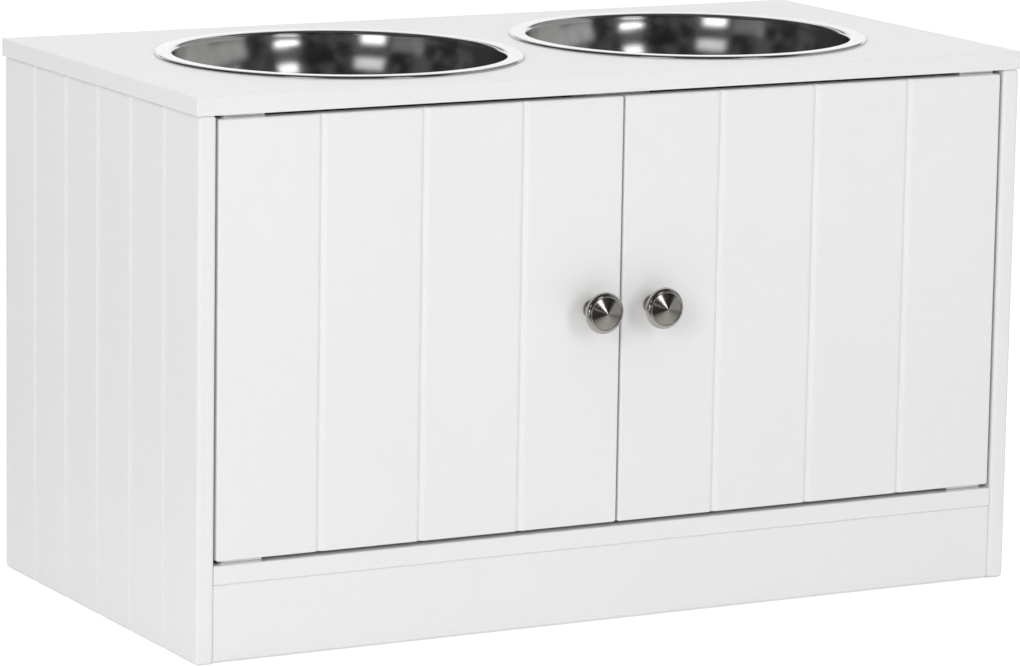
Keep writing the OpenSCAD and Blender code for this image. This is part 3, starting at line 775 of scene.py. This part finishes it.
screw_sets = screw_tree()
for name, body, count, facing in (
    ("back_screws", "cabinet", 3, Vector((0, 1, 0))),
    ("catch_screws", "cabinet", 2, Vector((0, 0, -1))),
    ("left_strike_screw", "door_left", 1, Vector((0, 1, 0))),
    ("right_strike_screw", "door_right", 1, Vector((0, 1, 0))),
):
    low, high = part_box(name)
    first, last = low.x + screw_head_r, high.x - screw_head_r
    length = abs((high - low).dot(facing))
    places = bmesh.new()
    for k in range(count):
        x = first + (last - first) * k / max(count - 1, 1)
        middle = Vector((x, *((low + high) / 2).yz))
        places.verts.new(middle + facing * length / 2)
    screws = new_piece(name + "_threaded", places)
    screw = wood_screw(length)
    screw_sets.apply(screws, Screw=screw, Facing=facing, Material=zinc)
    bpy.data.objects.remove(screw)
    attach(screws, body)
    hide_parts(name)

# ---------------------------------------------------------------- magnetic catch
# A moulded white body with two ears, screwed up under the top. Pressed ferrite magnets sit in its
# two bays, each between two steel plates that pull on the strike plates of the doors.
plastic_white = (0.85, 0.85, 0.83, 1)
plastic_specular = 0.5
plastic_roughness = (0.35, 0.5)
plastic_grain = 1800
plastic_grain_height = 0.00001
ferrite_black = (0.03, 0.03, 0.032, 1)
ferrite_grey = (0.09, 0.09, 0.1, 1)
ferrite_specular = 0.6
ferrite_roughness = (0.45, 0.7)
ferrite_grit = 2200
ferrite_grit_height = 0.00002


def moulded_plastic():
    plastic = Finish(
        "moulded_plastic", Base_Color=plastic_white, Specular_IOR_Level=plastic_specular
    )
    grain = plastic.noise(plastic_grain)
    plastic.roughness(grain, plastic_roughness)
    plastic.set("Normal", plastic.bump(grain, plastic_grain_height))
    return plastic.material


def ferrite():
    magnet = Finish("ferrite", Specular_IOR_Level=ferrite_specular)
    grit = magnet.noise(ferrite_grit, detail=4)
    magnet.colour(grit, ferrite_black, ferrite_grey)
    magnet.roughness(grit, ferrite_roughness)
    magnet.set("Normal", magnet.bump(grit, ferrite_grit_height))
    return magnet.material


coat(frame["nodes"]["catch_body"], moulded_plastic())
magnet = ferrite()
for side in ("left", "right"):
    coat(frame["nodes"][side + "_magnet"], magnet)

# ---------------------------------------------------------------- dowels
# Beech dowels, glued into the ends and faces of the boards that they join. They show only when the
# cabinet is apart.
beech_light = (0.62, 0.42, 0.23, 1)
beech_dark = (0.45, 0.28, 0.14, 1)
beech_specular = 0.3
beech_roughness = (0.55, 0.75)
beech_grain = 260
beech_grain_squeeze = (1, 1, 0.12)
beech_grain_height = 0.00003
beech_flecks = 1500
beech_fleck_squeeze = (1, 1, 0.2)


def beech():
    wood = Finish("beech", Specular_IOR_Level=beech_specular)
    grain = wood.noise(beech_grain, detail=5, squeeze=beech_grain_squeeze)
    fleck = wood.noise(beech_flecks, squeeze=beech_fleck_squeeze)
    wood.colour(grain * 0.7 + fleck * 0.3, beech_light, beech_dark)
    wood.roughness(fleck, beech_roughness)
    wood.set("Normal", wood.bump(grain, beech_grain_height))
    return wood.material


coat(frame["nodes"]["dowels"], beech())

# ---------------------------------------------------------------- studio
# A pale floor that glows a little and runs out of sight. Softboxes in front and a white room behind
# light the paint. Bright metal mirrors a darker room. Turns are in degrees from the front, rising
# to the right, and climbs in degrees above the horizon.
floor_half_w = 30
floor_roughness = 0.9
floor_glow = 0.4
floor_white = (0.92, 0.92, 0.92, 1)
floor_shade = (0.9, 0.9, 0.9, 1)
floor_clouds = 0.7
near_glow = 0.3
near_glow_from, near_glow_to = 0.2, 0.7
mirror_black = (0.02, 0.02, 0.02, 1)
mirror_grey = (0.45, 0.45, 0.45, 1)
mirror_dark_from, mirror_dark_to = 0.3, 0.85
mirror_beside_from, mirror_beside_to = 0.35, 0.9
aim_height = 0.3
softbox_away = 3.2
softbox_h = 1.4
white_ring = ((-180, 1.13), (-140, 0.8), (-90, 0.12), (0, 0.1), (90, 0.15), (140, 0.8), (180, 1.13))
white_zenith = 1.26
mirror_ring = (
    (-180, 1.18), (-172, 1.18), (-167, 0.03), (0, 0.015), (118, 0.03), (122, 1.18), (180, 1.18),
)
mirror_ceiling = 0.05
mirror_ceiling_climbs = (36, 70)
clutter_scale = 6
clutter_limits = (0.42, 0.62)
clutter_level = 0.09
twice_turns = (-10, 5)
twice_grey, twice_rise = 0.08, 0.75

# Patches in what metal mirrors: turns, climbs, softness of the edges, and how bright or, for the
# gaps in the white paper, how dark.
paper_gaps = (((122, 134), (12, 36), 1.5, 0.97), ((170, 182), (12, 36), 1.5, 0.97))
mirror_lamps = (
    ((3, 20), (7.2, 9.2), 2, 6),
    ((9, 22), (10, 12), 2, 0.8),
    ((6, 21), (24, 31), 2.5, 2.6),
    ((-58, -42), (1, 8.5), 2.5, 3),
    ((-60, -38), (20, 29), 2.5, 1.1),
    ((44, 116), (-12, 14), 3, 0.45),
    ((54, 116), (17, 45), 2, 0.4),
    ((-88, -64), (3, 13), 2, 0.2),
)


def studio_floor():
    """White paper that glows for the camera, and a little for the cabinet where it is near. What
    metal mirrors of it is dark, apart from the part under and round the cabinet."""
    floor = Finish("studio_floor", Roughness=floor_roughness, Emission_Strength=floor_glow)
    ray = floor.tree.nodes.new("ShaderNodeLightPath").outputs
    away = floor.node(
        "ShaderNodeVectorMath", {"operation": "LENGTH"}, {0: floor.place}, output="Value"
    )
    far = floor.spread(away, 0, 1, start=mirror_dark_from, end=mirror_dark_to)
    sideways = floor.split(floor.place)[0].maths("ABSOLUTE")
    beside = floor.spread(sideways, 0, 1, start=mirror_beside_from, end=mirror_beside_to)
    dark = floor.mix(beside, mirror_black, mirror_grey)
    paper = floor.mix(floor.noise(floor_clouds), floor_white, floor_shade)
    floor.set("Base Color", floor.mix(far * Wire(floor, ray["Is Glossy Ray"]), paper, dark))
    near = floor.spread(away, 1, 0, start=near_glow_from, end=near_glow_to)
    lighting = near * Wire(floor, ray["Is Diffuse Ray"]) * near_glow
    floor.set("Emission Color", Wire(floor, ray["Is Camera Ray"]) + lighting)
    return floor.material


def softbox(name, turn, climb, width, watts):
    """An area light aimed at the cabinet, seen from it at that turn and climb."""
    light = bpy.data.lights.new(name, "AREA")
    light.shape = "RECTANGLE"
    light.size, light.size_y = width, softbox_h
    light.energy = watts
    lamp = bpy.data.objects.new(name, light)
    lamp.visible_glossy = False
    bpy.context.scene.collection.objects.link(lamp)
    turn, climb = math.radians(turn), math.radians(climb)
    flat = math.cos(climb)
    out = Vector((math.sin(turn) * flat, -math.cos(turn) * flat, math.sin(climb)))
    aim = out.to_track_quat("Z", "Y").to_matrix().to_4x4()
    lamp.matrix_world = Matrix.Translation(Vector((0, 0, aim_height)) + out * softbox_away) @ aim


def studio_world():
    """A white room, brightest behind the cabinet and overhead. Metal mirrors dark walls and a dark
    ceiling, white paper behind with two gaps, five soft patches of light and three grey panels."""
    world = bpy.data.worlds.new("studio")
    world.use_nodes = True
    sky = Nodes(world.node_tree)
    sky.tree.nodes.clear()
    way = sky.node("ShaderNodeTexCoord", output="Generated")
    x, y, z = sky.split(way)
    turn = x.maths("ARCTAN2", 0 - y) * math.degrees(1)
    climb = z.maths("ARCSINE") * math.degrees(1)

    def blend(share, low, high):
        return low * (1 - share) + share * high

    def ramp(value, start, end):
        inputs = {"Value": value, "From Min": start, "From Max": end}
        return sky.node("ShaderNodeMapRange", {"interpolation_type": "SMOOTHSTEP"}, inputs)

    def ring(levels):
        """Grey all round, given as pairs of a turn and a level."""
        grey = sky.node("ShaderNodeValToRGB", (), {"Fac": turn / 360 + 0.5})
        elements = grey.socket.node.color_ramp.elements
        while len(elements) < len(levels):
            elements.new(1)
        for element, (place, level) in zip(elements, levels):
            element.position = (place + 180) / 360
            element.color = (level, level, level, 1)
        return grey

    def patch(turns, climbs, soft, level):
        """level between two turns and two climbs, with soft edges, and 0 elsewhere."""
        seen = level
        for value, (start, end) in ((turn, turns), (climb, climbs)):
            middle, half = (start + end) / 2, (end - start) / 2
            off = (value - middle).maths("ABSOLUTE")
            seen = ramp(off, half + soft, half - soft) * seen
        return seen

    lit = blend(z.maths("MAXIMUM", 0.0) ** 2, ring(white_ring), white_zenith)
    clutter = sky.node(
        "ShaderNodeTexNoise", (), {"Vector": way, "Scale": clutter_scale, "Detail": 3}
    )
    mirrored = blend(ramp(climb, *mirror_ceiling_climbs), ring(mirror_ring), mirror_ceiling)
    mirrored = mirrored + ramp(clutter, *clutter_limits) * clutter_level
    for gap in paper_gaps:
        mirrored = mirrored * (1 - patch(*gap))
    for lamp in mirror_lamps:
        mirrored = mirrored + patch(*lamp)
    path = sky.tree.nodes.new("ShaderNodeLightPath").outputs
    # Whatever metal mirrors in metal is plain grey, and brighter to the right.
    mirrored_twice = ramp(turn, *twice_turns) * twice_rise + twice_grey
    twice = ramp(Wire(sky, path["Glossy Depth"]), 1, 2)
    mirrored = blend(twice, mirrored, mirrored_twice)
    seen = blend(Wire(sky, path["Is Glossy Ray"]), lit, mirrored)
    seen = blend(Wire(sky, path["Is Camera Ray"]), seen, 1.0)
    light = sky.node("ShaderNodeBackground", (), {"Color": seen, "Strength": 1.0})
    sky.put(light, sky.tree.nodes.new("ShaderNodeOutputWorld").inputs["Surface"])
    return world


floor_mesh = bmesh.new()
bmesh.ops.create_grid(floor_mesh, x_segments=1, y_segments=1, size=floor_half_w)
floor = new_piece("floor", floor_mesh)
coat(floor, studio_floor())

softbox("key", turn=12, climb=13, width=0.9, watts=18.5)
softbox("fill", turn=-50, climb=15, width=1.0, watts=28)
bpy.context.scene.world = studio_world()
bpy.context.scene.view_settings.view_transform = "Standard"
bpy.context.scene.cycles.use_denoising = True
